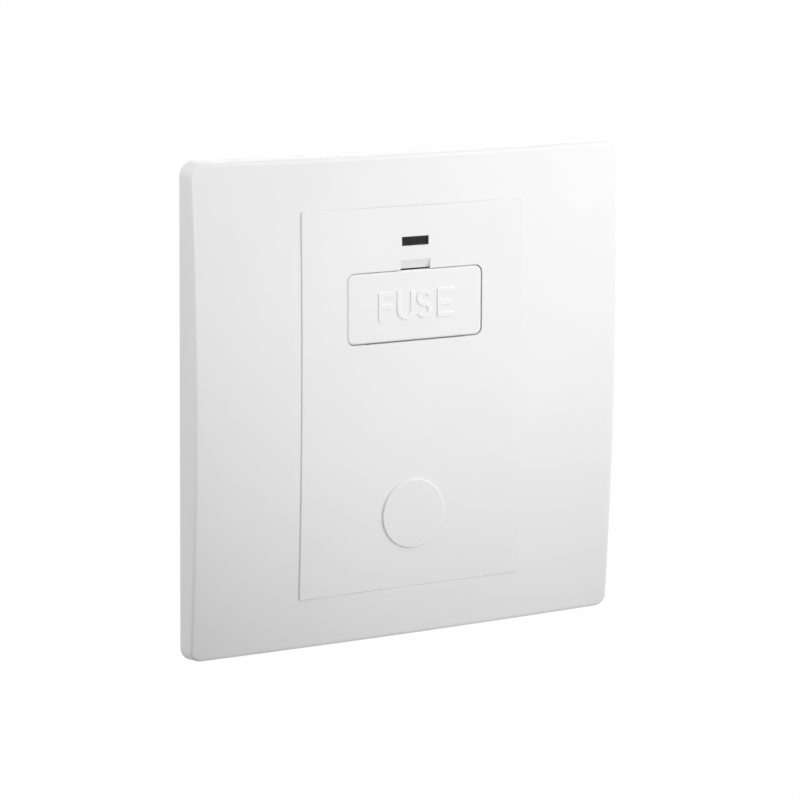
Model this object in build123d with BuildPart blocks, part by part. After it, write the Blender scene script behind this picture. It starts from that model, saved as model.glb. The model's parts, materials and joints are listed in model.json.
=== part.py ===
# Fused spur unit: a flush wall accessory with a clip-on cover plate, a drop-down fuse carrier,
# an indicator window and a blanked cord outlet.
# Millimetres. X to the right, Y into the wall, Z up. The origin is the middle of the wall plane.
import os

from build123d import *

# Cover plate, with depths measured forward from the wall plane
plate_width = 86.0
plate_height = 86.0
plate_corner = 2.5
plate_draft = 7.0
plate_lift = 0.3
crown_centre = 5.7
crown_side = 5.1
crown_end = 4.9
crown_corner = 3.4
plate_skin = 1.7
plate_wall = 1.7
plate_round = 0.6
plate_core_corner = 0.8

# Centre panel, standing in the aperture of the cover plate
panel_width = 44.7
panel_height = 67.5
panel_corner = 0.3
panel_front = 5.75
panel_crown = 0.6
panel_skin = 2.0
panel_side_wall = 1.6
panel_end_wall = 2.5
panel_bevel = 0.1
panel_gap = 0.1

# Fixing flange round the panel and the two fixing holes
flange_gap = 0.7
flange_thickness = 1.8
flange_corner = 3.0
fixing_pitch = 60.3
fixing_hole_radius = 2.05
fixing_seat_radius = 4.2
fixing_seat_depth = 0.6

# Clip legs of the cover plate, in slots of the flange
leg_x = 33.0
leg_z = 25.0
leg_thickness = 1.4
leg_width = 7.0
leg_shoulder = 0.8
leg_tip = 0.4
leg_clearance = 0.1

# Fuse and its carrier
fuse_length = 25.4
cap_radius = 3.175
cap_length = 5.6
cap_end = 0.4
cap_bevel = 0.25
barrel_radius = 2.9
fuse_y = -0.2
fuse_z = 15.6
fit_clearance = 0.03
carrier_width = 27.0
carrier_height = 12.25
carrier_z = 16.42
carrier_recess = 0.03
carrier_thickness = 2.2
carrier_corner = 1.3
carrier_round = 0.4
carrier_gap = 0.12
pivot_depth = 1.0
pivot_rise = 3.0
pivot_radius = 0.6
pivot_length = 1.4
pivot_clearance = 0.05
cradle_width = 12.0
cradle_wall = 1.1
cradle_mouth = 4.4
ear_width = 2.6
ear_height = 4.0
ear_depth = 1.2
relief_width = 19.8
relief_height = 0.05
notch_width = 6.0
notch_height = 1.85
notch_depth = 1.0
notch_slit = 0.25
pry_lip = 0.8
pry_height = 1.2

# Indicator window, lens, lamp, resistor and leads
lens_width = 5.3
lens_height = 1.5
lens_z = 27.6
lens_recess = 0.2
lens_lip = 0.85
lens_lip_depth = 0.8
lens_clearance = 0.05
lamp_radius = 2.0
lamp_length = 9.0
lamp_bevel = 0.8
lamp_gap = 0.3
fork_spread = 7.2
fork_thickness = 1.2
fork_width = 6.0
resistor_radius = 1.2
resistor_length = 6.0
resistor_bevel = 0.4
resistor_z = 9.0
lead_radius = 0.3
lead_sides = 6
lead_bend = 1.2
lead_x = 10.0

# Cord outlet and its plug
outlet_z = -20.5
outlet_radius = 5.9
outlet_ledge = 0.35
outlet_ledge_depth = 0.5
collar_radius = 7.6
plug_gap = 0.08
plug_lip = 0.28
plug_seat = 0.03
plug_rise = 0.33
plug_round = 0.2
plug_thickness = 1.88
finger_thickness = 1.0
finger_length = 5.0
finger_gap = 0.1
finger_slot = 3.4

# Rear housing
housing_width = 47.0
housing_height = 66.0
housing_corner = 2.0
housing_wall = 1.6
housing_floor = 8.0
seat_depth = 0.9
seat_clearance = 0.2
passage_radius = 7.0
passage_wall = 1.2
passage_gap = 0.3
notch_side_x = 8.3
notch_side_z = 7.8
ledge_y = 4.0

# Terminals, their shrouds and screws
terminal_x = 18.5
terminal_width = 7.0
terminal_height = 8.0
terminal_depth = 8.4
terminal_clearance = 0.2
wire_bore_radius = 1.9
wire_bore_y = 3.4
shroud_wall = 1.4
shroud_depth = 9.9
entry_width = 5.0
tang_width = 3.4
tang_height = 2.4
strap_thickness = 0.8
strap_width = 6.0
strap_pad = 3.0
tang_clearance = 0.05
earth_bar_z = -9.3
earth_bar_width = 5.0
contact_gap = 0.1
contact_bend = 0.6
contact_riser = 1.5
contact_end = 7.6

# Screws
post_inset_x = 4.9
post_inset_z = 4.4
post_radius = 2.4
screw_clearance = 0.1
post_screw_radius = 1.2
post_screw_length = 6.0
post_head_radius = 2.3
post_head_height = 1.6
terminal_screw_radius = 1.65
terminal_head_radius = 2.8
terminal_head_height = 1.8
terminal_screw_rise = 0.5
terminal_screw_tip = 0.25
slot_width = 0.8
slot_depth = 0.7
head_bevel = 0.4

# Cord clamp
clamp_x = 9.3
clamp_z = -3.4
clamp_length = 25.0
clamp_width = 6.0
clamp_thickness = 3.0
clamp_corner = 1.5
clamp_arch = 1.4
clamp_arch_width = 10.0
clamp_boss_radius = 2.8
clamp_boss_height = 3.4
clamp_screw_radius = 1.4
clamp_screw_length = 6.0
clamp_head_radius = 2.6
clamp_head_height = 1.7

# Places worked out from the sizes above
panel_back_y = -(panel_front - panel_skin)
aperture_width = panel_width + 2 * panel_gap
aperture_height = panel_height + 2 * panel_gap
flange_width = plate_width - 2 * (plate_wall + flange_gap)
flange_height = plate_height - 2 * (plate_wall + flange_gap)
cavity_width = panel_width - 2 * panel_side_wall
cavity_height = panel_height - 2 * panel_end_wall
carrier_front = panel_front - panel_crown * (2 * carrier_z / panel_height) ** 2
carrier_back_y = -(carrier_front - carrier_thickness)
carrier_bottom_z = carrier_z - carrier_height / 2
carrier_top_z = carrier_z + carrier_height / 2
pivot_y = -(carrier_front - pivot_depth)
pivot_z = carrier_bottom_z + pivot_rise
cradle_radius = barrel_radius + fit_clearance + cradle_wall
lens_back_y = panel_back_y + lens_lip_depth
lamp_y = lens_back_y + lamp_gap + lamp_radius
floor_back_y = housing_floor + housing_wall
seat_y = -seat_depth
post_x = housing_width / 2 - post_inset_x
post_z = housing_height / 2 - post_inset_z
terminal_rows = (fuse_z, 0.0, -fuse_z)
terminal_back_y = floor_back_y + terminal_depth
strap_front_y = housing_floor - strap_thickness
tang_slot_width = tang_width + 2 * tang_clearance
tang_slot_height = tang_height + 2 * tang_clearance
contact_y = fuse_y + cap_radius + contact_gap
clamp_y = floor_back_y + clamp_boss_height
plug_front = panel_front + plug_rise - panel_crown * (2 * outlet_z / panel_height) ** 2
plug_back_y = -(plug_front - plug_thickness)


def wall_plane(y):
    """Plane parallel to the wall at depth y, looking out to the front."""
    return Plane.XZ.offset(-y)


def crowned_block(inset):
    """Tall block whose front is the crowned face of the cover plate, set back by an inset."""
    half_height = plate_height / 2
    side_x = plate_width / 2
    edge_arc = (crown_side, crown_corner)
    middle_arc = (crown_centre, crown_end)
    sections = ((-side_x, edge_arc), (0, middle_arc), (side_x, edge_arc))
    with BuildPart() as block:
        for x, (middle, end) in sections:
            with BuildSketch(Plane.YZ.offset(x)):
                with BuildLine():
                    ThreePointArc(
                        (inset - end, -half_height), (inset - middle, 0), (inset - end, half_height)
                    )
                    Polyline(
                        (inset - end, half_height),
                        (crown_centre, half_height),
                        (crown_centre, -half_height),
                        (inset - end, -half_height),
                    )
                make_face()
        loft()
    return block.part


def crowned_panel(recess):
    """Block behind the crowned front of the centre panel, set back by a recess."""
    end_y = panel_crown - panel_front + recess
    half_height = panel_height / 2
    with BuildPart() as block:
        with BuildSketch(Plane.YZ):
            with BuildLine():
                ThreePointArc((end_y, -half_height), (recess - panel_front, 0), (end_y, half_height))
                Polyline((end_y, half_height), (0, half_height), (0, -half_height), (end_y, -half_height))
            make_face()
        extrude(amount=panel_width / 2, both=True)
    return block.part


def drafted_block(width, height, corner, depth):
    """Rounded block standing forward from the rim of the cover plate, with drafted sides."""
    with BuildPart() as block:
        with BuildSketch(wall_plane(-plate_lift)):
            RectangleRounded(width, height, corner)
        extrude(amount=depth, taper=plate_draft)
    return block.part


def slotted_screw(radius, length, head_radius, head_height):
    """Pan-head screw along Y: the head stands behind the origin, the shank in front of it."""
    with BuildPart() as screw:
        with BuildSketch(wall_plane(0)):
            Circle(radius)
        extrude(amount=length)
        with BuildSketch(wall_plane(head_height)):
            Circle(head_radius)
        extrude(amount=head_height)
        rim = screw.faces().sort_by(Axis.Y)[-1].edges()
        chamfer(rim, head_bevel)
        with BuildSketch(wall_plane(head_height)):
            Rectangle(2 * head_radius, slot_width)
        extrude(amount=slot_depth, mode=Mode.SUBTRACT)
    return screw.part


# Cover plate: a crowned shell, open at the back, with the panel's aperture and four clip legs
plate_block = drafted_block(plate_width, plate_height, plate_corner, crown_centre + plate_lift)
plate_crown = crowned_block(0)
plate_core = drafted_block(
    plate_width - 2 * plate_wall,
    plate_height - 2 * plate_wall,
    plate_core_corner,
    crown_centre + plate_lift,
)
plate_core_crown = crowned_block(plate_skin)
with BuildPart() as plate_hollow:
    add(plate_core)
    add(plate_core_crown, mode=Mode.INTERSECT)
with BuildPart() as cover_plate:
    add(plate_block)
    add(plate_crown, mode=Mode.INTERSECT)
    fillet(cover_plate.faces().sort_by(Axis.Y)[0].outer_wire().edges(), plate_round)
    add(plate_hollow.part, mode=Mode.SUBTRACT)
    with BuildSketch(wall_plane(0)):
        RectangleRounded(aperture_width, aperture_height, panel_corner)
    extrude(amount=2 * crown_centre, mode=Mode.SUBTRACT)
    with BuildSketch(wall_plane(-flange_thickness)):
        with GridLocations(2 * leg_x, 2 * leg_z, 2, 2):
            Rectangle(leg_thickness + 2 * leg_shoulder, leg_width + 2 * leg_shoulder)
    extrude(until=Until.NEXT)
    with BuildSketch(wall_plane(-leg_tip)):
        with GridLocations(2 * leg_x, 2 * leg_z, 2, 2):
            Rectangle(leg_thickness, leg_width)
    extrude(amount=flange_thickness - leg_tip)

# Front moulding: panel and fixing flange in one piece, hollow behind the panel
panel_block = crowned_panel(0)
with BuildPart() as front_moulding:
    add(panel_block)
    fillet(front_moulding.edges().filter_by(Axis.Y), panel_corner)
    chamfer(front_moulding.faces().sort_by(Axis.Y)[0].outer_wire().edges(), panel_bevel)
    with BuildSketch(wall_plane(0)):
        RectangleRounded(flange_width, flange_height, flange_corner)
    extrude(amount=flange_thickness)
    with BuildSketch(wall_plane(0)):
        Rectangle(cavity_width, cavity_height)
    extrude(amount=-panel_back_y, mode=Mode.SUBTRACT)
    with BuildSketch(wall_plane(0)):
        RectangleRounded(
            housing_width + 2 * seat_clearance, housing_height + 2 * seat_clearance, housing_corner
        )
    extrude(amount=seat_depth, mode=Mode.SUBTRACT)
    # Fixing holes with their screw seats, and the slots for the clip legs
    with BuildSketch(wall_plane(0)):
        with GridLocations(fixing_pitch, 0, 2, 1):
            Circle(fixing_hole_radius)
        with GridLocations(2 * leg_x, 2 * leg_z, 2, 2):
            Rectangle(leg_thickness + 2 * leg_clearance, leg_width + 2 * leg_clearance)
    extrude(amount=flange_thickness, mode=Mode.SUBTRACT)
    with BuildSketch(wall_plane(-flange_thickness)):
        with GridLocations(fixing_pitch, 0, 2, 1):
            Circle(fixing_seat_radius)
    extrude(amount=-fixing_seat_depth, mode=Mode.SUBTRACT)
    # Bearing ears behind the panel, at both ends of the carrier's pivot
    with BuildSketch(wall_plane(panel_back_y + ear_depth)):
        ear_offset = carrier_width + 2 * carrier_gap + ear_width
        with Locations((0, pivot_z)):
            with GridLocations(ear_offset, 0, 2, 1):
                Rectangle(ear_width, ear_height)
    extrude(amount=ear_depth)
    # Carrier opening, with the relief under its lower edge and the pry notch above it
    with BuildSketch(wall_plane(panel_back_y + ear_depth)):
        with Locations((0, carrier_z)):
            RectangleRounded(
                carrier_width + 2 * carrier_gap,
                carrier_height + 2 * carrier_gap,
                carrier_corner + carrier_gap,
            )
        with Locations((0, carrier_bottom_z - carrier_gap)):
            Rectangle(relief_width, 2 * relief_height)
    extrude(amount=panel_front, mode=Mode.SUBTRACT)
    with BuildSketch(Plane.YZ.offset(-notch_width / 2)):
        notch_foot_z = carrier_top_z + notch_slit
        with BuildLine():
            Polyline(
                (-panel_front, carrier_top_z),
                (panel_back_y, carrier_top_z),
                (panel_back_y, notch_foot_z),
                (notch_depth - panel_front, notch_foot_z),
                (-panel_front + panel_crown / 2, carrier_top_z + notch_height),
                (-panel_front, carrier_top_z + notch_height),
                close=True,
            )
        make_face()
    extrude(amount=notch_width, mode=Mode.SUBTRACT)
    pivot_reach = carrier_width / 2 + pivot_length + pivot_clearance
    with BuildSketch(Plane.YZ.offset(-pivot_reach)):
        with Locations((pivot_y, pivot_z)):
            Circle(pivot_radius + pivot_clearance)
    extrude(amount=2 * pivot_reach, mode=Mode.SUBTRACT)
    # Cord outlet with a ledge that the plug seats on
    with BuildSketch(wall_plane(plug_back_y + outlet_ledge_depth)):
        with Locations((0, outlet_z)):
            Circle(collar_radius)
    extrude(amount=plug_back_y + outlet_ledge_depth - panel_back_y + panel_skin / 2)
    with BuildSketch(wall_plane(plug_back_y)):
        with Locations((0, outlet_z)):
            Circle(outlet_radius)
    extrude(amount=panel_front, mode=Mode.SUBTRACT)
    with BuildSketch(wall_plane(plug_back_y + outlet_ledge_depth)):
        with Locations((0, outlet_z)):
            Circle(outlet_radius - outlet_ledge)
    extrude(amount=panel_front, mode=Mode.SUBTRACT)
    # Lamp forks behind the panel, then the window
    with BuildSketch(Plane.YZ.offset(-fork_spread / 2 - fork_thickness / 2)):
        with Locations((panel_back_y, lens_z)):
            Rectangle(
                lamp_y - panel_back_y, fork_width, align=(Align.MIN, Align.CENTER)
            )
        with Locations((lamp_y, lens_z)):
            Circle(lamp_radius + lens_clearance, mode=Mode.SUBTRACT)
    fork = extrude(amount=fork_thickness)
    mirror(fork, about=Plane.YZ)
    with BuildSketch(wall_plane(panel_back_y)):
        with Locations((0, lens_z)):
            Rectangle(lens_width + 2 * lens_clearance, lens_height + 2 * lens_clearance)
    extrude(amount=panel_front, mode=Mode.SUBTRACT)
    # Posts for the housing screws
    with BuildSketch(wall_plane(ledge_y)):
        with GridLocations(2 * post_x, 2 * post_z, 2, 2):
            Circle(post_radius)
    extrude(amount=ledge_y - panel_back_y)
    with BuildSketch(wall_plane(ledge_y)):
        with GridLocations(2 * post_x, 2 * post_z, 2, 2):
            Circle(post_screw_radius)
    extrude(amount=post_screw_length, mode=Mode.SUBTRACT)

# Fuse carrier: face with a pry recess behind its top edge, pivot pins and the cradle that grips the fuse
carrier_crown = crowned_panel(carrier_recess)
with BuildPart() as fuse_carrier:
    with BuildSketch(wall_plane(carrier_back_y)):
        with Locations((0, carrier_z)):
            RectangleRounded(carrier_width, carrier_height, carrier_corner)
    extrude(amount=panel_front + carrier_back_y)
    add(carrier_crown, mode=Mode.INTERSECT)
    fillet(fuse_carrier.faces().sort_by(Axis.Y)[0].edges(), carrier_round)
    with BuildSketch(wall_plane(carrier_back_y)):
        with Locations((0, carrier_top_z)):
            Rectangle(notch_width, pry_height, align=(Align.CENTER, Align.MAX))
    extrude(amount=carrier_thickness - pry_lip, mode=Mode.SUBTRACT)
    with BuildSketch(Plane.YZ.offset(-carrier_width / 2 - pivot_length)):
        with Locations((pivot_y, pivot_z)):
            Circle(pivot_radius)
    extrude(amount=carrier_width + 2 * pivot_length)
    with BuildSketch(Plane.YZ.offset(-cradle_width / 2)):
        with Locations((fuse_y, fuse_z)):
            Circle(cradle_radius)
        with Locations((carrier_back_y, fuse_z)):
            Rectangle(
                fuse_y - carrier_back_y, 2 * cradle_radius, align=(Align.MIN, Align.CENTER)
            )
        with Locations((fuse_y, fuse_z)):
            Circle(barrel_radius + fit_clearance, mode=Mode.SUBTRACT)
            Rectangle(
                cradle_mouth, 2 * cradle_radius, align=(Align.CENTER, Align.MIN), mode=Mode.SUBTRACT
            )
    extrude(amount=cradle_width)

# Cartridge fuse: ceramic barrel and two end caps
with BuildPart() as fuse_barrel:
    with BuildSketch(Plane.YZ.offset(cap_end - fuse_length / 2)):
        with Locations((fuse_y, fuse_z)):
            Circle(barrel_radius)
    extrude(amount=fuse_length - 2 * cap_end)
with BuildPart() as fuse_caps:
    with BuildSketch(Plane.YZ.offset(fuse_length / 2 - cap_length)):
        with Locations((fuse_y, fuse_z)):
            Circle(cap_radius)
    extrude(amount=cap_length)
    chamfer(fuse_caps.faces().sort_by(Axis.X)[-1].edges(), cap_bevel)
    with BuildSketch(Plane.YZ.offset(fuse_length / 2 - cap_length)):
        with Locations((fuse_y, fuse_z)):
            Circle(barrel_radius + fit_clearance)
    extrude(amount=cap_length - cap_end, mode=Mode.SUBTRACT)
    mirror(about=Plane.YZ)

# Spring contact behind a fuse cap, held on the floor by the tang of its terminal
with BuildPart() as load_contact:
    with BuildSketch(Plane.XY.offset(fuse_z - strap_width / 2)):
        riser_x = carrier_width / 2 + contact_riser
        with BuildLine():
            FilletPolyline(
                (terminal_x + strap_pad, housing_floor),
                (riser_x, housing_floor),
                (riser_x, contact_y + strap_thickness),
                (contact_end, contact_y + strap_thickness),
                radius=contact_bend + strap_thickness,
            )
            offset(amount=strap_thickness, side=Side.LEFT)
        make_face()
    extrude(amount=strap_width)
    with BuildSketch(wall_plane(housing_floor)):
        with Locations((terminal_x, fuse_z)):
            Rectangle(tang_slot_width, tang_slot_height)
    extrude(amount=strap_thickness, mode=Mode.SUBTRACT)
with BuildPart() as supply_contact:
    mirror(load_contact.part, about=Plane.YZ)

# Straps that join the supply side to the load side
strap_length = 2 * (terminal_x + strap_pad)
with BuildPart() as neutral_link:
    with BuildSketch(wall_plane(housing_floor)):
        Rectangle(strap_length, strap_width)
        with GridLocations(2 * terminal_x, 0, 2, 1):
            Rectangle(tang_slot_width, tang_slot_height, mode=Mode.SUBTRACT)
    extrude(amount=strap_thickness)
with BuildPart() as earth_link:
    with BuildSketch(wall_plane(housing_floor)):
        with Locations((0, earth_bar_z)):
            Rectangle(strap_length, earth_bar_width)
        with Locations((0, -fuse_z)):
            with GridLocations(2 * terminal_x, 0, 2, 1):
                Rectangle(2 * strap_pad, strap_width + earth_bar_width)
        with Locations((0, -fuse_z)):
            with GridLocations(2 * terminal_x, 0, 2, 1):
                Rectangle(tang_slot_width, tang_slot_height, mode=Mode.SUBTRACT)
    extrude(amount=strap_thickness)


def terminal(x, z):
    """Brass terminal with a wire bore along X, a screw hole at the back and a tang in front."""
    with BuildPart() as block:
        with BuildSketch(wall_plane(terminal_back_y)):
            with Locations((x, z)):
                Rectangle(terminal_width, terminal_height)
        extrude(amount=terminal_depth)
        with BuildSketch(wall_plane(floor_back_y)):
            with Locations((x, z)):
                Rectangle(tang_width, tang_height)
        extrude(amount=floor_back_y - strap_front_y)
        with BuildSketch(Plane.YZ.offset(x - terminal_width / 2)):
            with Locations((floor_back_y + wire_bore_y, z)):
                Circle(wire_bore_radius)
        extrude(amount=terminal_width, mode=Mode.SUBTRACT)
        with BuildSketch(wall_plane(terminal_back_y)):
            with Locations((x, z)):
                Circle(terminal_screw_radius + screw_clearance)
        extrude(amount=terminal_depth - wire_bore_y, mode=Mode.SUBTRACT)
    return block


supply_live_terminal = terminal(-terminal_x, fuse_z)
supply_neutral_terminal = terminal(-terminal_x, 0)
supply_earth_terminal = terminal(-terminal_x, -fuse_z)
load_live_terminal = terminal(terminal_x, fuse_z)
load_neutral_terminal = terminal(terminal_x, 0)
load_earth_terminal = terminal(terminal_x, -fuse_z)

# Terminal screws, backed off so that the wire bores are free
bore_cover = terminal_depth - wire_bore_y - wire_bore_radius
terminal_screw_length = bore_cover + terminal_screw_rise - terminal_screw_tip
terminal_screw = slotted_screw(
    terminal_screw_radius, terminal_screw_length, terminal_head_radius, terminal_head_height
)
with BuildPart() as terminal_screws:
    terminal_head_y = terminal_back_y + terminal_screw_rise
    screw_places = [(side * terminal_x, terminal_head_y, z) for side in (-1, 1) for z in terminal_rows]
    with Locations(*screw_places):
        add(terminal_screw)

# Rear housing: a box with a floor, six terminal shrouds, the cord passage and the clamp's bosses
with BuildPart() as rear_housing:
    with BuildSketch(wall_plane(floor_back_y)):
        RectangleRounded(housing_width, housing_height, housing_corner)
    extrude(amount=floor_back_y - seat_y)
    inner_width = housing_width - 2 * housing_wall
    inner_height = housing_height - 2 * housing_wall
    with BuildSketch(wall_plane(ledge_y)):
        Rectangle(inner_width, inner_height)
    extrude(amount=ledge_y - seat_y, mode=Mode.SUBTRACT)
    # Below the screw ledges the hollow stands clear of the four corners
    with BuildSketch(wall_plane(housing_floor)):
        Rectangle(inner_width, inner_height)
        with GridLocations(housing_width, housing_height, 2, 2):
            Rectangle(
                2 * (notch_side_x + housing_wall), 2 * (notch_side_z + housing_wall), mode=Mode.SUBTRACT
            )
    extrude(amount=housing_floor - ledge_y, mode=Mode.SUBTRACT)
    with BuildSketch(wall_plane(floor_back_y)):
        with GridLocations(housing_width, housing_height, 2, 2):
            Rectangle(2 * notch_side_x, 2 * notch_side_z)
    extrude(amount=floor_back_y - ledge_y - housing_wall, mode=Mode.SUBTRACT)
    with BuildSketch(wall_plane(ledge_y + housing_wall)):
        with GridLocations(2 * post_x, 2 * post_z, 2, 2):
            Circle(post_screw_radius + screw_clearance)
    extrude(amount=housing_wall, mode=Mode.SUBTRACT)
    # Terminal shrouds, open to the back, each with a wire entry at its outer side
    pocket_width = terminal_width + 2 * terminal_clearance
    pocket_height = terminal_height + 2 * terminal_clearance
    shroud_inner_x = terminal_x - pocket_width / 2 - shroud_wall
    shroud_width = housing_width / 2 - shroud_inner_x
    shroud_x = (housing_width / 2 + shroud_inner_x) / 2
    with BuildSketch(wall_plane(floor_back_y + shroud_depth)):
        with GridLocations(2 * shroud_x, fuse_z, 2, 3):
            Rectangle(shroud_width, pocket_height + 2 * shroud_wall)
        with GridLocations(2 * terminal_x, fuse_z, 2, 3):
            Rectangle(pocket_width, pocket_height, mode=Mode.SUBTRACT)
        with GridLocations(housing_width, fuse_z, 2, 3):
            Rectangle(2 * (housing_width / 2 - terminal_x), entry_width, mode=Mode.SUBTRACT)
    extrude(amount=shroud_depth)
    with BuildSketch(wall_plane(floor_back_y)):
        with GridLocations(2 * terminal_x, fuse_z, 2, 3):
            Rectangle(tang_slot_width, tang_slot_height)
    extrude(amount=housing_wall, mode=Mode.SUBTRACT)
    # Cord passage from the outlet to the back
    passage_front_y = plug_back_y + outlet_ledge_depth + passage_gap
    with BuildSketch(wall_plane(housing_floor)):
        with Locations((0, outlet_z)):
            Circle(passage_radius + passage_wall)
    extrude(amount=housing_floor - passage_front_y)
    with BuildSketch(wall_plane(floor_back_y)):
        with Locations((0, outlet_z)):
            Circle(passage_radius)
    extrude(amount=floor_back_y - passage_front_y, mode=Mode.SUBTRACT)
    # Bosses for the cord clamp
    with BuildSketch(wall_plane(clamp_y)):
        with Locations((0, clamp_z)):
            with GridLocations(2 * clamp_x, 0, 2, 1):
                Circle(clamp_boss_radius)
    extrude(amount=clamp_boss_height)
    with BuildSketch(wall_plane(clamp_y)):
        with Locations((0, clamp_z)):
            with GridLocations(2 * clamp_x, 0, 2, 1):
                Circle(clamp_screw_radius)
    extrude(amount=clamp_screw_length - clamp_thickness + screw_clearance, mode=Mode.SUBTRACT)

# Housing screws, from the back into the posts of the front moulding
post_screw = slotted_screw(
    post_screw_radius, post_screw_length, post_head_radius, post_head_height
)
with BuildPart() as housing_screws:
    post_head_y = ledge_y + housing_wall
    with Locations(*[(i * post_x, post_head_y, k * post_z) for i in (-1, 1) for k in (-1, 1)]):
        add(post_screw)

# Cord clamp: an arched bar and its two screws
with BuildPart() as cord_clamp:
    with BuildSketch(Plane.XY.offset(clamp_z - clamp_width / 2)):
        with BuildLine():
            Polyline(
                (-clamp_arch_width / 2, clamp_y),
                (-clamp_length / 2, clamp_y),
                (-clamp_length / 2, clamp_y + clamp_thickness),
                (clamp_length / 2, clamp_y + clamp_thickness),
                (clamp_length / 2, clamp_y),
                (clamp_arch_width / 2, clamp_y),
            )
            ThreePointArc(
                (clamp_arch_width / 2, clamp_y),
                (0, clamp_y + clamp_arch),
                (-clamp_arch_width / 2, clamp_y),
            )
        make_face()
    extrude(amount=clamp_width)
    fillet(cord_clamp.edges().filter_by(Axis.Y), clamp_corner)
    with BuildSketch(wall_plane(clamp_y + clamp_thickness)):
        with Locations((0, clamp_z)):
            with GridLocations(2 * clamp_x, 0, 2, 1):
                Circle(clamp_screw_radius + screw_clearance)
    extrude(amount=clamp_thickness, mode=Mode.SUBTRACT)
clamp_screw = slotted_screw(
    clamp_screw_radius, clamp_screw_length, clamp_head_radius, clamp_head_height
)
with BuildPart() as cord_clamp_screws:
    with Locations(*[(side * clamp_x, clamp_y + clamp_thickness, clamp_z) for side in (-1, 1)]):
        add(clamp_screw)

# Outlet plug: a crowned disc with a thin lip that lies on the panel, and four spring fingers
plug_crown = crowned_panel(-plug_rise)
plug_core = crowned_panel(-plug_rise / 2)
plug_face = crowned_panel(-plug_seat)
with BuildPart() as plug_body:
    with BuildSketch(wall_plane(plug_back_y)):
        with Locations((0, outlet_z)):
            Circle(outlet_radius - plug_gap)
    extrude(amount=panel_front + plug_back_y + plug_rise)
    add(plug_core, mode=Mode.INTERSECT)
with BuildPart() as outlet_plug:
    with BuildSketch(wall_plane(plug_back_y)):
        with Locations((0, outlet_z)):
            Circle(outlet_radius + plug_lip)
    extrude(amount=panel_front + plug_back_y + plug_rise)
    add(plug_crown, mode=Mode.INTERSECT)
    fillet(outlet_plug.faces().sort_by(Axis.Y)[0].edges(), plug_round)
    add(plug_face, mode=Mode.SUBTRACT)
    add(plug_body.part)
    finger_radius = outlet_radius - outlet_ledge - finger_gap
    with BuildSketch(wall_plane(plug_back_y + finger_length)):
        with Locations((0, outlet_z)):
            Circle(finger_radius)
            Circle(finger_radius - finger_thickness, mode=Mode.SUBTRACT)
            Rectangle(2 * finger_radius, finger_slot, mode=Mode.SUBTRACT)
            Rectangle(finger_slot, 2 * finger_radius, mode=Mode.SUBTRACT)
    extrude(amount=finger_length)

# Indicator: lens in the window, lamp in its forks, resistor and leads
with BuildPart() as indicator_lens:
    with BuildSketch(wall_plane(panel_back_y)):
        with Locations((0, lens_z)):
            Rectangle(lens_width, lens_height)
    lens_front = panel_front - panel_crown * (2 * lens_z / panel_height) ** 2
    extrude(amount=lens_front - lens_recess + panel_back_y)
    with BuildSketch(wall_plane(lens_back_y)):
        with Locations((0, lens_z)):
            Rectangle(lens_width - 2 * lens_clearance, lens_height + 2 * lens_lip)
    extrude(amount=lens_lip_depth)
with BuildPart() as indicator_lamp:
    with BuildSketch(Plane.YZ.offset(-lamp_length / 2)):
        with Locations((lamp_y, lens_z)):
            Circle(lamp_radius)
    extrude(amount=lamp_length)
    chamfer(indicator_lamp.edges().filter_by(GeomType.CIRCLE), lamp_bevel)
with BuildPart() as lamp_resistor:
    resistor_y = strap_front_y - resistor_radius - lead_radius
    with BuildSketch(Plane.XY.offset(resistor_z - resistor_length / 2)):
        with Locations((-lead_x, resistor_y)):
            Circle(resistor_radius)
    extrude(amount=resistor_length)
    chamfer(lamp_resistor.edges().filter_by(GeomType.CIRCLE), resistor_bevel)


def lead(points):
    """Drawn wire of many-sided section along straight runs joined by arcs."""
    with BuildPart() as wire:
        with BuildLine() as path:
            FilletPolyline(*points, radius=lead_bend)
        with BuildSketch(Plane(origin=path.line @ 0, z_dir=path.line % 0)):
            RegularPolygon(lead_radius, lead_sides)
        sweep(path=path.line)
    return wire.part


lamp_end_x = lamp_length / 2
contact_top_z = fuse_z + strap_width / 2
lead_load_y = contact_y + strap_thickness / 2
load_wire = lead(
    [
        (lamp_end_x, lamp_y, lens_z),
        (lead_x, lamp_y, lens_z),
        (lead_x, lead_load_y, lens_z),
        (lead_x, lead_load_y, contact_top_z),
    ]
)
upper_wire = lead(
    [
        (-lamp_end_x, lamp_y, lens_z),
        (-lead_x, lamp_y, lens_z),
        (-lead_x, resistor_y, lens_z),
        (-lead_x, resistor_y, resistor_z + resistor_length / 2),
    ]
)
lower_wire = lead(
    [
        (-lead_x, resistor_y, resistor_z - resistor_length / 2),
        (-lead_x, resistor_y, 0),
        (-lead_x, strap_front_y, 0),
    ]
)
with BuildPart() as lamp_lead_load:
    add(load_wire)
with BuildPart() as lamp_lead_neutral:
    add(upper_wire)
    add(lower_wire)

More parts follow.
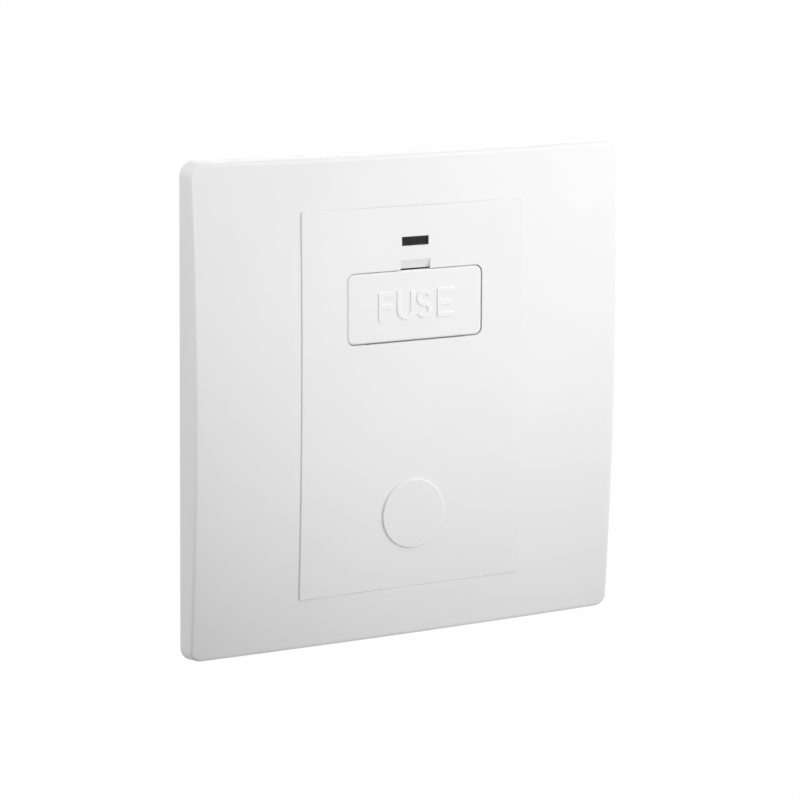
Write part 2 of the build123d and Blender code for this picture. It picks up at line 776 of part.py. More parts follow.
pieces = {
    "cover_plate": cover_plate,
    "front_moulding": front_moulding,
    "fuse_carrier": fuse_carrier,
    "fuse_barrel": fuse_barrel,
    "fuse_caps": fuse_caps,
    "supply_contact": supply_contact,
    "load_contact": load_contact,
    "neutral_link": neutral_link,
    "earth_link": earth_link,
    "supply_live_terminal": supply_live_terminal,
    "supply_neutral_terminal": supply_neutral_terminal,
    "supply_earth_terminal": supply_earth_terminal,
    "load_live_terminal": load_live_terminal,
    "load_neutral_terminal": load_neutral_terminal,
    "load_earth_terminal": load_earth_terminal,
    "terminal_screws": terminal_screws,
    "rear_housing": rear_housing,
    "housing_screws": housing_screws,
    "cord_clamp": cord_clamp,
    "cord_clamp_screws": cord_clamp_screws,
    "outlet_plug": outlet_plug,
    "indicator_lens": indicator_lens,
    "indicator_lamp": indicator_lamp,
    "lamp_resistor": lamp_resistor,
    "lamp_lead_load": lamp_lead_load,
    "lamp_lead_neutral": lamp_lead_neutral,
}
os.makedirs("parts", exist_ok=True)
for label, piece in pieces.items():
    piece.part.label = label
    export_step(piece.part, f"parts/{label}.step")
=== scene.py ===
# Looks of the fused spur unit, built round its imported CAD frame.
# Metres. X to the right, Y into the wall, Z up.
# Depths are measured forward from the wall plane, along -Y.
import json
import math

import bmesh
import bpy
import numpy as np
from mathutils import Matrix, Vector


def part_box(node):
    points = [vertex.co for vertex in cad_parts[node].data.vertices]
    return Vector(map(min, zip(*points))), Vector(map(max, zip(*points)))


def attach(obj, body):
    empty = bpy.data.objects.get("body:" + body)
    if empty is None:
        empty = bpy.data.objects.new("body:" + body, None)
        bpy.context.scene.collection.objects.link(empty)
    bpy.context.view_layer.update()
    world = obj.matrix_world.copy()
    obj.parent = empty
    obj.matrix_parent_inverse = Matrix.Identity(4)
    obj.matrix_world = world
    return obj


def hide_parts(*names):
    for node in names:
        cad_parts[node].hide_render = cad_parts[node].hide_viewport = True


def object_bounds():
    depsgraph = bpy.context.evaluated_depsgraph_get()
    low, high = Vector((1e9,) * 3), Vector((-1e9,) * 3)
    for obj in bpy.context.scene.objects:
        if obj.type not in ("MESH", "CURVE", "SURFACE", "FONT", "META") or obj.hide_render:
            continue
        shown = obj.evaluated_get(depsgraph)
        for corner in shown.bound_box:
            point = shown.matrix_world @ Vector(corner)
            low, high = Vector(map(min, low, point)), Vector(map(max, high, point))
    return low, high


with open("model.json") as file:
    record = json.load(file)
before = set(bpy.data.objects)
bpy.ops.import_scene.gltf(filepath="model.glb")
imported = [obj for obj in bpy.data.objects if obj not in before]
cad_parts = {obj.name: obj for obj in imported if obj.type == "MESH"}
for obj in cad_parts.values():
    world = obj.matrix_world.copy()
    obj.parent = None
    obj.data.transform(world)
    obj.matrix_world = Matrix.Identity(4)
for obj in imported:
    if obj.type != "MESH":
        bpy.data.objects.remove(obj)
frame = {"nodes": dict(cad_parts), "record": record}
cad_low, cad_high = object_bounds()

scene = bpy.context.scene
nodes = frame["nodes"]
record = frame["record"]
body_of_node = {n: b for b, names in record["behaviour"]["bodies"].items() for n in names}
slot_of_node = {p["node"]: p["material_slot"] for p in record["subparts"]}

MM = 0.001
QUARTER_TURN = math.pi / 2
WHITE = (1, 1, 1, 1)

# Cover plate: outline, crowned front, walls and rounded edges
PLATE_CORNER = 2.5 * MM
PLATE_DRAFT = math.radians(7.0)
PLATE_LIFT = 0.3 * MM
CROWN_CENTRE = 5.7 * MM
CROWN_SIDE_DROP = 0.6 * MM
CROWN_END_DROP = 0.8 * MM
CROWN_CORNER_DROP = 0.9 * MM
PLATE_SKIN = 1.7 * MM
PLATE_WALL = 1.7 * MM
PLATE_ROUND = 0.6 * MM
PLATE_CORE_CORNER = 0.8 * MM
RIM_ROUND = 0.15 * MM
APERTURE_ROUND = 0.05 * MM
# Passes that settle where a drafted wall meets the crowned front, and the step that reads its slope
EDGE_PASSES = 4
SLOPE_PROBE = 0.1 * MM

# Panel in the plate's aperture, and the fuse carrier set back in it. Further forward than the
# least depth, the front moulding is only its panel, without the flange.
FLANGE_THICKNESS = 1.8 * MM
PANEL_LEAST_DEPTH = 2 * FLANGE_THICKNESS
PANEL_GAP = 0.015 * MM
PANEL_CORNER = 0.3 * MM
PANEL_FRONT = 5.75 * MM
PANEL_CROWN = 0.6 * MM
CARRIER_RECESS = 0.03 * MM

# Clip legs of the plate
LEG_PLACE = (33.0 * MM, 25.0 * MM)
LEG_SIZE = (1.4 * MM, 7.0 * MM)
LEG_SHOULDER = 0.8 * MM
LEG_TIP = 0.4 * MM
LEG_ROOT = 0.3 * MM

# Fineness of the meshes
SIDE_STEPS = 28
CORNER_STEPS = 8
ARC_STEPS = 6
FRONT_STEPS = 20
WALL_STEPS = 3
LATHE_STEPS = 32
DOME_STEPS = 8
SHARP_ANGLE = math.radians(35)

# Raised letters on the fuse carrier, drawn in millimetres: the left edge and width of each one,
# what they share, the length of the middle bars as a share of the width, and where the S ends
LETTERS = {"F": (-7.4, 3.0), "U": (-3.7, 3.5), "S": (0.2, 3.1), "E": (4.4, 3.3)}
LETTER_FOOT = 14.0
LETTER_HEIGHT = 5.0
LETTER_STROKE = 0.8
LETTER_RISE = 0.17
LETTER_ROUND = 0.09
LETTER_ROUND_STEPS = 2
LETTER_STEPS = 12
F_BAR = 0.9
E_BAR = 0.92
S_END_DEGREES = 25

# Indicator lens: its border and the ribs inside it
LENS_BORDER = 0.25 * MM
LENS_RIBS = 17
LENS_RIB_RISE = 0.08 * MM

# Lamp and its electrodes
GLASS_WALL = 0.3 * MM
ELECTRODE_RADIUS = 0.35 * MM
ELECTRODE_SHIFT = 0.6 * MM
ELECTRODE_REACH = 1.2 * MM

# Resistor: its waist, where the end caps stop and how far their edges are eased, as shares of its
# half length and radius, and its painted bands, each with its start as a share of the length
RESISTOR_WAIST = 0.2 * MM
RESISTOR_CAP = 0.5
RESISTOR_EASE = 0.25
RESISTOR_TAN = (0.62, 0.49, 0.33)
RESISTOR_BANDS = (
    (0.1, (0.16, 0.07, 0.03)),
    (0.32, (0.02, 0.02, 0.02)),
    (0.48, (0.8, 0.55, 0.06)),
    (0.78, (0.5, 0.36, 0.12)),
)
RESISTOR_BAND_WIDTH = 0.08
RESISTOR_ROUGHNESS = 0.35
RESISTOR_GRAIN = 0.01

# Materials, with the sizes of noise and the depths of relief in millimetres
NOISE_DETAIL = 3.0
NOISE_SPAN = (0.3, 0.7)
# Plastics and ceramic: darkest and lightest colour, roughness and depth of the grain
PLASTICS = {
    "white_plastic": ((0.845, 0.845, 0.845), (0.86, 0.86, 0.86), 0.4, 0.004),
    # The letters' plastic is the carrier's white painted a touch lighter, a painted highlight for
    # the light their raised faces catch
    "letter_plastic_painted_highlight": ((0.86, 0.86, 0.86), (0.87, 0.87, 0.87), 0.38, 0.002),
    "housing_plastic": ((0.74, 0.74, 0.72), (0.79, 0.79, 0.77), 0.52, 0.012),
    "fuse_ceramic": ((0.76, 0.72, 0.64), (0.84, 0.80, 0.72), 0.62, 0.02),
}
MOTTLE_SIZE = 18.0
GLOSS_SIZE = 2.5
GLOSS_SPREAD = 0.04
GRAIN_SIZE = 0.35
GRAIN_DETAIL = 2.0
GRAIN_STRENGTH = 0.5
WHITE_SPECULAR = 0.45
# Metals: darkest and lightest colour, roughness and the stretch of the drawing lines
METALS = {
    "plated_metal": ((0.66, 0.64, 0.60), (0.80, 0.78, 0.74), 0.26, (0.08, 1, 1)),
    "contact_brass": ((0.66, 0.46, 0.19), (0.83, 0.62, 0.29), 0.34, (0.08, 1, 1)),
    "terminal_brass": ((0.68, 0.48, 0.20), (0.85, 0.64, 0.30), 0.30, (1, 0.08, 1)),
    "screw_brass": ((0.70, 0.51, 0.23), (0.88, 0.68, 0.34), 0.24, (1, 0.1, 1)),
    "screw_steel": ((0.55, 0.56, 0.57), (0.72, 0.73, 0.74), 0.32, (1, 0.1, 1)),
    "lead_wire": ((0.62, 0.62, 0.61), (0.78, 0.78, 0.77), 0.30, (1, 1, 0.1)),
}
TARNISH_SIZE = 3.0
LINE_SIZE = 0.25
LINE_DETAIL = 4.0
LINE_DEPTH = 0.01
LINE_STRENGTH = 0.4
LINE_SPREAD = 0.08
# Lens and glass: size of the patches, darkest and lightest colour, size of the uneven gloss, and
# lowest and highest roughness
POLISHED = {
    "lens_plastic": (1.2, (0.012, 0.012, 0.012), (0.022, 0.022, 0.022), 0.6, 0.18, 0.3),
    "lamp_glass": (4.0, (0.90, 0.84, 0.78), (0.98, 0.94, 0.90), 1.5, 0.02, 0.07),
}
LENS_SPECULAR = 0.3
GLASS_IOR = 1.5

# Camera, fitted to the plate's edges in the photograph
CAMERA_PLACE = (-286.5 * MM, -484.2 * MM, 106.75 * MM)
CAMERA_YAW = math.radians(30.65)
CAMERA_PITCH = math.radians(10.87)
CAMERA_ROLL = math.radians(0.61)
CAMERA_LENS = 146.91
CAMERA_SENSOR = 36.0

# Floor: between two distances from the middle it fades into the white background, starting from
# the share of white that it has nearer in
FLOOR_DROP = 0.6
FLOOR_SIZE = 12.0
FLOOR_GRID = 8
FLOOR_GREY = (0.9, 0.9, 0.9, 1.0)
FLOOR_ROUGHNESS = 0.9
FLOOR_NEAR = 0.3
FLOOR_FAR = 0.55
FLOOR_NEAR_WHITE = 0.55

# Light
AMBIENT = 0.29
# Soft lamps: azimuth and elevation in degrees (0 is in front, 90 to the right), distance, width,
# height and watts
SOFT_LAMPS = {
    "key_strip": (50, 5, 0.4, 0.15, 0.45, 0.64),
    "top": (45, 60, 0.4, 0.3, 0.3, 0.46),
    "rim": (-103, 29, 0.36, 0.3, 0.3, 0.63),
    "back": (150, 10, 0.7, 0.3, 0.3, 0.98),
}
# Front spots: azimuth and elevation as above, watts, reach on the plate and the point aimed at
SPOTS = {
    "wide_spot": (0, 5, 7.5, 0.12, (0.0, 0.0, 0.05)),
    "near_spot": (5, 30, 2.45, 0.085, (0.015, 0.0, -0.005)),
}
SPOT_DISTANCE = 0.8
SPOT_SIZE = 0.03
SPOT_BLEND = 1.0


def link(name, data):
    """New object in the scene, for a mesh, curve, camera or lamp."""
    made = bpy.data.objects.new(name, data)
    scene.collection.objects.link(made)
    return made


def fill(node, **values):
    """Constant values on a shader node's own sockets; an underscore stands for a space."""
    for name, value in values.items():
        node.inputs[name.replace("_", " ")].default_value = value


def add_node(tree, kind, operation=None, **values):
    """New shader node of a kind, with its operation and the constant values on its sockets."""
    node = tree.nodes.new(f"ShaderNode{kind}")
    if operation:
        node.operation = operation
    fill(node, **values)
    return node


class Finish:
    """Node tree of one material, in millimetres of the piece's own space."""

    def __init__(self, name):
        self.material = bpy.data.materials.new(name)
        self.material.use_nodes = True
        self.tree = self.material.node_tree
        self.shader = self.tree.nodes["Principled BSDF"]
        place = add_node(self.tree, "TexCoord")
        scale = add_node(self.tree, "Mapping", Scale=(1 / MM, 1 / MM, 1 / MM))
        self.tree.links.new(place.outputs["Object"], scale.inputs["Vector"])
        self.place = scale.outputs["Vector"]

    def noise(self, size, detail=NOISE_DETAIL, stretch=(1, 1, 1)):
        """Noise with features of about a size."""
        squeeze = add_node(self.tree, "Mapping", Scale=stretch)
        texture = add_node(self.tree, "TexNoise", Scale=1 / size, Detail=detail)
        self.tree.links.new(self.place, squeeze.inputs["Vector"])
        self.tree.links.new(squeeze.outputs["Vector"], texture.inputs["Vector"])
        return texture.outputs["Fac"]

    def between(self, factor, low, high, span=NOISE_SPAN):
        """Value from low to high as the factor goes over a span."""
        start, end = span
        spread = add_node(
            self.tree, "MapRange", From_Min=start, From_Max=end, To_Min=low, To_Max=high
        )
        self.tree.links.new(factor, spread.inputs["Value"])
        return spread.outputs["Result"]

    def along(self, axis, ends):
        """Factor from 0 to 1 between two places in metres along one axis."""
        split = add_node(self.tree, "SeparateXYZ")
        self.tree.links.new(self.place, split.inputs["Vector"])
        return self.between(split.outputs[axis], 0.0, 1.0, [end / MM for end in ends])

    def ramp(self, factor, stops, constant=False):
        """Colour along a factor, from stops of (position, colour)."""
        band = add_node(self.tree, "ValToRGB")
        band.color_ramp.interpolation = "CONSTANT" if constant else "LINEAR"
        while len(band.color_ramp.elements) < len(stops):
            band.color_ramp.elements.new(1.0)
        for element, (position, colour) in zip(band.color_ramp.elements, stops):
            element.position = position
            element.color = (*colour, 1.0)
        self.tree.links.new(factor, band.inputs["Fac"])
        return band.outputs["Color"]

    def feed(self, socket, output):
        """Links an output to one of the shader's sockets."""
        self.tree.links.new(output, self.shader.inputs[socket])

    def mottle(self, size, dark, light):
        """Colour that goes between two tones in patches of about a size."""
        start, end = NOISE_SPAN
        self.feed("Base Color", self.ramp(self.noise(size), ((start, dark), (end, light))))

    def gloss(self, factor, smoothest, roughest):
        """Roughness that follows a factor."""
        self.feed("Roughness", self.between(factor, smoothest, roughest))

    def bump(self, output, depth, strength):
        """Fine relief of a depth."""
        relief = add_node(self.tree, "Bump", Strength=strength, Distance=depth * MM)
        self.tree.links.new(output, relief.inputs["Height"])
        self.feed("Normal", relief.outputs["Normal"])

    def grain(self, roughness, depth):
        """Uneven gloss and fine spark-eroded grain that a mould leaves."""
        self.gloss(self.noise(GLOSS_SIZE), roughness - GLOSS_SPREAD, roughness + GLOSS_SPREAD)
        self.bump(self.noise(GRAIN_SIZE, GRAIN_DETAIL), depth, GRAIN_STRENGTH)


def moulded_plastic(name, dark, light, roughness, grain_depth):
    """Moulded plastic or ceramic with faint mottling, uneven gloss and a fine grain."""
    finish = Finish(name)
    finish.mottle(MOTTLE_SIZE, dark, light)
    finish.grain(roughness, grain_depth)
    return finish


def worked_metal(name, dark, light, roughness, streaks):
    """Bare metal with tarnish in patches and fine drawing lines along one direction."""
    finish = Finish(name)
    fill(finish.shader, Metallic=1.0)
    finish.mottle(TARNISH_SIZE, dark, light)
    lines = finish.noise(LINE_SIZE, LINE_DETAIL, streaks)
    finish.gloss(lines, roughness - LINE_SPREAD, roughness + LINE_SPREAD)
    finish.bump(lines, LINE_DEPTH, LINE_STRENGTH)
    return finish


def polished(name, patch_size, dark, light, gloss_size, smoothest, roughest):
    """Smooth lens or glass with faint patches and slightly uneven gloss."""
    finish = Finish(name)
    finish.mottle(patch_size, dark, light)
    finish.gloss(finish.noise(gloss_size), smoothest, roughest)
    return finish


def painted_resistor(name):
    """Lacquered resistor body with painted bands along its length."""
    finish = Finish(name)
    finish.grain(RESISTOR_ROUGHNESS, RESISTOR_GRAIN)
    stops = [(0.0, RESISTOR_TAN)]
    for start, paint in RESISTOR_BANDS:
        stops += [(start, paint), (start + RESISTOR_BAND_WIDTH, RESISTOR_TAN)]
    ends = [corner.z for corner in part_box("lamp_resistor")]
    finish.feed("Base Color", finish.ramp(finish.along("Z", ends), stops, constant=True))
    return finish


def make_finishes():
    """Every finish by name: one for each material slot of the record, and the letters' own."""
    finishes = {name: moulded_plastic(name, *look) for name, look in PLASTICS.items()}
    finishes.update({name: worked_metal(name, *look) for name, look in METALS.items()})
    finishes.update({name: polished(name, *look) for name, look in POLISHED.items()})
    finishes["resistor_body"] = painted_resistor("resistor_body")
    fill(finishes["white_plastic"].shader, Specular_IOR_Level=WHITE_SPECULAR)
    fill(finishes["lens_plastic"].shader, Specular_IOR_Level=LENS_SPECULAR)
    fill(finishes["lamp_glass"].shader, Transmission_Weight=1.0, IOR=GLASS_IOR)
    return finishes


FINISHES = make_finishes()
for node_name, node in nodes.items():
    node.material_slots[0].material = FINISHES[slot_of_node[node_name]].material


def smooth(mesh):
    """Smooth shading, with edges sharper than SHARP_ANGLE kept crisp."""
    mesh.shade_smooth()
    mesh.set_sharp_from_angle(angle=SHARP_ANGLE)


def mesh_from(name, shape):
    """Mesh of a shape, with its faces turned outward and smoothed."""
    bmesh.ops.recalc_face_normals(shape, faces=shape.faces)
    mesh = bpy.data.meshes.new(name)
    shape.to_mesh(mesh)
    shape.free()
    smooth(mesh)
    return mesh


def add_piece(name, mesh, node, finish, *stands_for):
    """New piece with a finish, attached to the body of a CAD node; the CAD nodes it stands for are
    hidden.
    """
    mesh.materials.append(FINISHES[finish].material)
    piece = link(name, mesh)
    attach(piece, body_of_node[node])
    if stands_for:
        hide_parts(*stands_for)


def node_points(name):
    """Points of a CAD node's mesh."""
    return np.array([v.co for v in nodes[name].data.vertices])


def panel_half():
    """Half the panel's width and height, from the points of its moulding in front of the flange."""
    points = node_points("front_moulding")
    forward = points[points[:, 1] < -PANEL_LEAST_DEPTH]
    return float(np.abs(forward[:, 0]).max()), float(np.abs(forward[:, 2]).max())


PANEL_HALF = panel_half()


def rounded_loop(half_x, half_z, radius):
    """Points and outward directions round a rounded rectangle in X and Z, as many at any size."""
    points = []
    outward = []
    corners = [(1, 1), (-1, 1), (-1, -1), (1, -1)]
    for quarter, (side_x, side_z) in enumerate(corners):
        centre = np.array((side_x * (half_x - radius), side_z * (half_z - radius)))
        for step in range(CORNER_STEPS + 1):
            angle = QUARTER_TURN * (quarter + step / CORNER_STEPS)
            direction = np.array((math.cos(angle), math.sin(angle)))
            points.append(centre + radius * direction)
            outward.append(direction)
        next_x, next_z = corners[(quarter + 1) % len(corners)]
        next_centre = np.array((next_x * (half_x - radius), next_z * (half_z - radius)))
        start = points[-1]
        end = next_centre + radius * direction
        for step in range(1, SIDE_STEPS):
            points.append(start + (end - start) * step / SIDE_STEPS)
            outward.append(direction)
    return np.array(points), np.array(outward)


def crown(points, half):
    """Depth of the plate's crowned front over points in X and Z."""
    across = (points[:, 0] / half[0]) ** 2
    along = (points[:, 1] / half[1]) ** 2
    end_drop = CROWN_END_DROP + CROWN_CORNER_DROP * across
    return CROWN_CENTRE - CROWN_SIDE_DROP * across - end_drop * along


def drafted(points, outward, depth):
    """Points of an outline at the plate's rim, moved in by the draft at a depth."""
    return points - outward * ((depth - PLATE_LIFT) * math.tan(PLATE_DRAFT))[:, None]


def edge_depth(points, outward, half, skin):
    """Depth at which a drafted wall meets the crowned front, set back by a skin."""
    depth = crown(points, half) - skin
    for _ in range(EDGE_PASSES):
        depth = crown(drafted(points, outward, depth), half) - skin
    return depth


def wall_loops(points, outward, start, end):
    """Loops up a drafted wall between two depths."""
    shares = np.linspace(0, 1, WALL_STEPS + 1)
    depths = [start + (end - start) * share for share in shares]
    return [(drafted(points, outward, depth), depth) for depth in depths]


def rounded_edge(points, outward, half):
    """Loops round the plate's outer front edge, from its drafted wall to its crowned front."""
    depth = edge_depth(points, outward, half, 0.0)
    edge = drafted(points, outward, depth)
    slope = (crown(edge - outward * SLOPE_PROBE, half) - crown(edge, half)) / SLOPE_PROBE
    wall = np.array((math.sin(PLATE_DRAFT), math.cos(PLATE_DRAFT)))
    inward = np.array((math.cos(PLATE_DRAFT), -math.sin(PLATE_DRAFT)))
    front = np.stack((np.ones_like(slope), slope), axis=1) / np.hypot(1, slope)[:, None]
    opening = np.arccos(-(front @ wall))
    reach = PLATE_ROUND / np.tan(opening / 2)
    start = -wall[None, :] * reach[:, None]
    centre = start + PLATE_ROUND * inward[None, :]
    first = (start - centre) / PLATE_ROUND
    last = (front * reach[:, None] - centre) / PLATE_ROUND
    loops = []
    for share in np.linspace(0, 1, ARC_STEPS + 1):
        angle = share * QUARTER_TURN
        direction = first * math.cos(angle) + last * math.sin(angle)
        direction = direction / np.linalg.norm(direction, axis=1)[:, None]
        spot = centre + PLATE_ROUND * direction
        loops.append((edge - outward * spot[:, :1], depth + spot[:, 1]))
    return loops


def plate_loops(half):
    """Loops round the plate's section: wall, front, aperture, and back inside to the rim."""
    outer, outward = rounded_loop(half[0], half[1], PLATE_CORNER)
    core, core_outward = rounded_loop(
        half[0] - PLATE_WALL, half[1] - PLATE_WALL, PLATE_CORE_CORNER
    )
    opening, opening_outward = rounded_loop(
        PANEL_HALF[0] + PANEL_GAP, PANEL_HALF[1] + PANEL_GAP, PANEL_CORNER
    )
    rim = np.full(len(outer), PLATE_LIFT)
    loops = [(outer - outward * RIM_ROUND, rim)]
    edge = rounded_edge(outer, outward, half)
    loops += wall_loops(outer, outward, rim + RIM_ROUND, edge[0][1])[:-1]
    loops += edge
    start = edge[-1][0]
    end = opening + opening_outward * APERTURE_ROUND
    for step in range(1, FRONT_STEPS + 1):
        points = start + (end - start) * step / FRONT_STEPS
        loops.append((points, crown(points, half)))
    lip = crown(opening, half)
    for step in range(1, ARC_STEPS + 1):
        angle = QUARTER_TURN * step / ARC_STEPS
        points = opening + opening_outward * APERTURE_ROUND * (1 - math.sin(angle))
        loops.append((points, lip - APERTURE_ROUND * (1 - math.cos(angle))))
    loops.append((opening, lip - PLATE_SKIN))
    core_depth = edge_depth(core, core_outward, half, PLATE_SKIN)
    core_edge = drafted(core, core_outward, core_depth)
    for step in range(1, FRONT_STEPS):
        points = opening + (core_edge - opening) * step / FRONT_STEPS
        loops.append((points, crown(points, half) - PLATE_SKIN))
    return loops + wall_loops(core, core_outward, core_depth, rim)


def join_rings(shape, first, second):
    """Faces between two closed rings of as many points."""
    for i in range(len(first)):
        j = (i + 1) % len(first)
        shape.faces.new((first[i], first[j], second[j], second[i]))


def bridge(shape, loops):
    """Faces between loops of (points, depth), and from the last loop to the first."""
    rings = []
    for points, depth in loops:
        rings.append([shape.verts.new((x, -d, z)) for (x, z), d in zip(points, depth)])
    for first, second in zip(rings, [*rings[1:], rings[0]]):
        join_rings(shape, first, second)


def add_block(shape, low, high):
    """Closed block between two corners."""
    size = Vector(high) - Vector(low)
    middle = (Vector(low) + Vector(high)) / 2
    place = Matrix.Translation(middle) @ Matrix.Diagonal((*size, 1.0))
    bmesh.ops.create_cube(shape, size=1.0, matrix=place)


def add_clip_legs(shape, half):
    """Four clip legs behind the plate's front, each with a shoulder on the flange."""
    leg_x, leg_z = LEG_PLACE
    half_x, half_z = LEG_SIZE[0] / 2, LEG_SIZE[1] / 2
    root = crown(np.array([LEG_PLACE]), half)[0] - PLATE_SKIN + LEG_ROOT
    for x in (-leg_x, leg_x):
        for z in (-leg_z, leg_z):
            add_block(
                shape,
                (x - half_x - LEG_SHOULDER, -root, z - half_z - LEG_SHOULDER),
                (x + half_x + LEG_SHOULDER, -FLANGE_THICKNESS, z + half_z + LEG_SHOULDER),
            )
            add_block(
                shape,
                (x - half_x, -FLANGE_THICKNESS - LEG_ROOT, z - half_z),
                (x + half_x, -LEG_TIP, z + half_z),
            )


def make_cover_plate():
    """Crowned shell with rounded edges, the panel's aperture and the four clip legs."""
    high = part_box("cover_plate")[1]
    half = (high.x, high.z)
    shape = bmesh.new()
    bridge(shape, plate_loops(half))
    add_clip_legs(shape, half)
    mesh = mesh_from("cover_plate_shell", shape)
    add_piece("cover_plate_shell", mesh, "cover_plate", "white_plastic", "cover_plate")


def arc(centre, radii, start, end):
    """Points on an elliptic arc between two angles in degrees."""
    turns = np.radians(np.linspace(start, end, LETTER_STEPS + 1))
    return [
        (centre[0] + radii[0] * math.cos(t), centre[1] + radii[1] * math.sin(t)) for t in turns
    ]


def stroke(path):
    """Outline of a stroke along a path."""
    path = np.array(path)
    along = np.gradient(path, axis=0)
    along /= np.linalg.norm(along, axis=1)[:, None]
    aside = np.stack((-along[:, 1], along[:, 0]), axis=1) * LETTER_STROKE / 2
    return [*(path + aside), *(path - aside)[::-1]]


def comb(bars):
    """Outline of a stem with bars of (foot, length) to its right, from low to high."""
    outline = [(0, 0)]
    if bars[0][0] > 0:
        outline.append((LETTER_STROKE, 0))
    for foot, length in bars:
        head = foot + LETTER_STROKE
        if foot > 0:
            outline.append((LETTER_STROKE, foot))
        outline += [(length, foot), (length, head)]
        if head < LETTER_HEIGHT:
            outline.append((LETTER_STROKE, head))
    return [*outline, (0, LETTER_HEIGHT)]


def letter_outline(letter, width):
    """Outline of one letter, from its lower left corner."""
    half = LETTER_STROKE / 2
    top = LETTER_HEIGHT - LETTER_STROKE
    middle = top / 2
    bowl = width / 2 - half
    if letter == "F":
        return comb([(middle, F_BAR * width), (top, width)])
    if letter == "E":
        return comb([(0, width), (middle, E_BAR * width), (top, width)])
    if letter == "U":
        turn = arc((width / 2, bowl + half), (bowl, bowl), 180, 360)
        return stroke([(half, LETTER_HEIGHT), *turn, (width - half, LETTER_HEIGHT)])
    rise = middle / 2
    upper = arc((width / 2, LETTER_HEIGHT - half - rise), (bowl, rise), S_END_DEGREES, 270)
    lower = arc((width / 2, half + rise), (bowl, rise), 90, S_END_DEGREES - 180)
    return stroke([*upper, *lower[1:]])


def panel_depth(z):
    """Depth of the panel's crowned front at a height."""
    return PANEL_FRONT - PANEL_CROWN * (z / PANEL_HALF[1]) ** 2


def make_letters():
    """Raised letters on the front of the fuse carrier."""
    curve = bpy.data.curves.new("letters", "CURVE")
    curve.dimensions = "2D"
    curve.fill_mode = "BOTH"
    curve.extrude = LETTER_RISE - LETTER_ROUND
    curve.bevel_depth = LETTER_ROUND
    curve.bevel_resolution = LETTER_ROUND_STEPS
    curve.offset = -LETTER_ROUND
    for letter, (left, width) in LETTERS.items():
        outline = letter_outline(letter, width)
        line = curve.splines.new("POLY")
        line.points.add(len(outline) - 1)
        for point, (x, z) in zip(line.points, outline):
            point.co = (left + x, LETTER_FOOT + z, 0, 1)
        line.use_cyclic_u = True
    drawing = link("letters_drawing", curve)
    evaluated = drawing.evaluated_get(bpy.context.evaluated_depsgraph_get())
    mesh = bpy.data.meshes.new_from_object(evaluated)
    bpy.data.objects.remove(drawing)
    mesh.transform(Matrix.Rotation(QUARTER_TURN, 4, "X") @ Matrix.Scale(MM, 4))
    for vertex in mesh.vertices:
        vertex.co.y -= panel_depth(vertex.co.z) - CARRIER_RECESS
    smooth(mesh)
    # The letters take the lighter plastic: a painted highlight on their raised faces, not a
    # different material
    add_piece("carrier_letters", mesh, "fuse_carrier", "letter_plastic_painted_highlight")


def make_lens():
    """Dark lens with a plain border and fine upright ribs inside it."""
    low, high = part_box("indicator_lens")
    groove = low.y + LENS_RIB_RISE
    points = node_points("indicator_lens")
    front = points[points[:, 1] < groove]
    half_x = float(np.abs(front[:, 0]).max())
    foot = float(front[:, 2].min())
    head = float(front[:, 2].max())
    lip = points[np.abs(points[:, 2] - low.z) < LENS_RIB_RISE]
    lip_y = float(lip[:, 1].min())
    shape = bmesh.new()
    add_block(shape, (-half_x, groove, foot), (half_x, lip_y, head))
    add_block(shape, (low.x, lip_y, low.z), (high.x, high.y, high.z))
    for z in (foot, head - LENS_BORDER):
        add_block(shape, (-half_x, low.y, z), (half_x, groove, z + LENS_BORDER))
    inner = (foot + LENS_BORDER, head - LENS_BORDER)
    for x in (-half_x, half_x - LENS_BORDER):
        add_block(shape, (x, low.y, inner[0]), (x + LENS_BORDER, groove, inner[1]))
    pitch = 2 * (half_x - LENS_BORDER) / LENS_RIBS
    for rib in range(LENS_RIBS):
        left = LENS_BORDER - half_x + rib * pitch
        section = [(left, groove), (left + pitch / 2, low.y), (left + pitch, groove)]
        ends = [[shape.verts.new((x, y, z)) for x, y in section] for z in inner]
        for end in ends:
            shape.faces.new(end)
        join_rings(shape, *ends)
    mesh = mesh_from("ribbed_lens", shape)
    add_piece("ribbed_lens", mesh, "indicator_lens", "lens_plastic", "indicator_lens")


def lathe(shape, profile, place):
    """Closed body of revolution from (radius, distance) along X, moved to its place."""
    rings = []
    for radius, distance in profile:
        ring = []
        for step in range(LATHE_STEPS):
            angle = 2 * math.pi * step / LATHE_STEPS
            spot = Vector((distance, radius * math.cos(angle), radius * math.sin(angle)))
            ring.append(shape.verts.new(place @ spot))
        rings.append(ring)
    for first, second in zip(rings, rings[1:]):
        join_rings(shape, first, second)
    shape.faces.new(rings[0])
    shape.faces.new(rings[-1])


def mirrored(profile):
    """Profile of one end of a body, followed by that of the other end."""
    return [*profile, *[(radius, -distance) for radius, distance in reversed(profile)]]


def dome(radius, reach):
    """Profile of a rod with round ends between plus and minus a reach."""
    turns = [QUARTER_TURN * step / DOME_STEPS for step in range(1, DOME_STEPS + 1)]
    return mirrored(
        [(radius * math.sin(t), -reach + radius * (1 - math.cos(t))) for t in turns]
    )


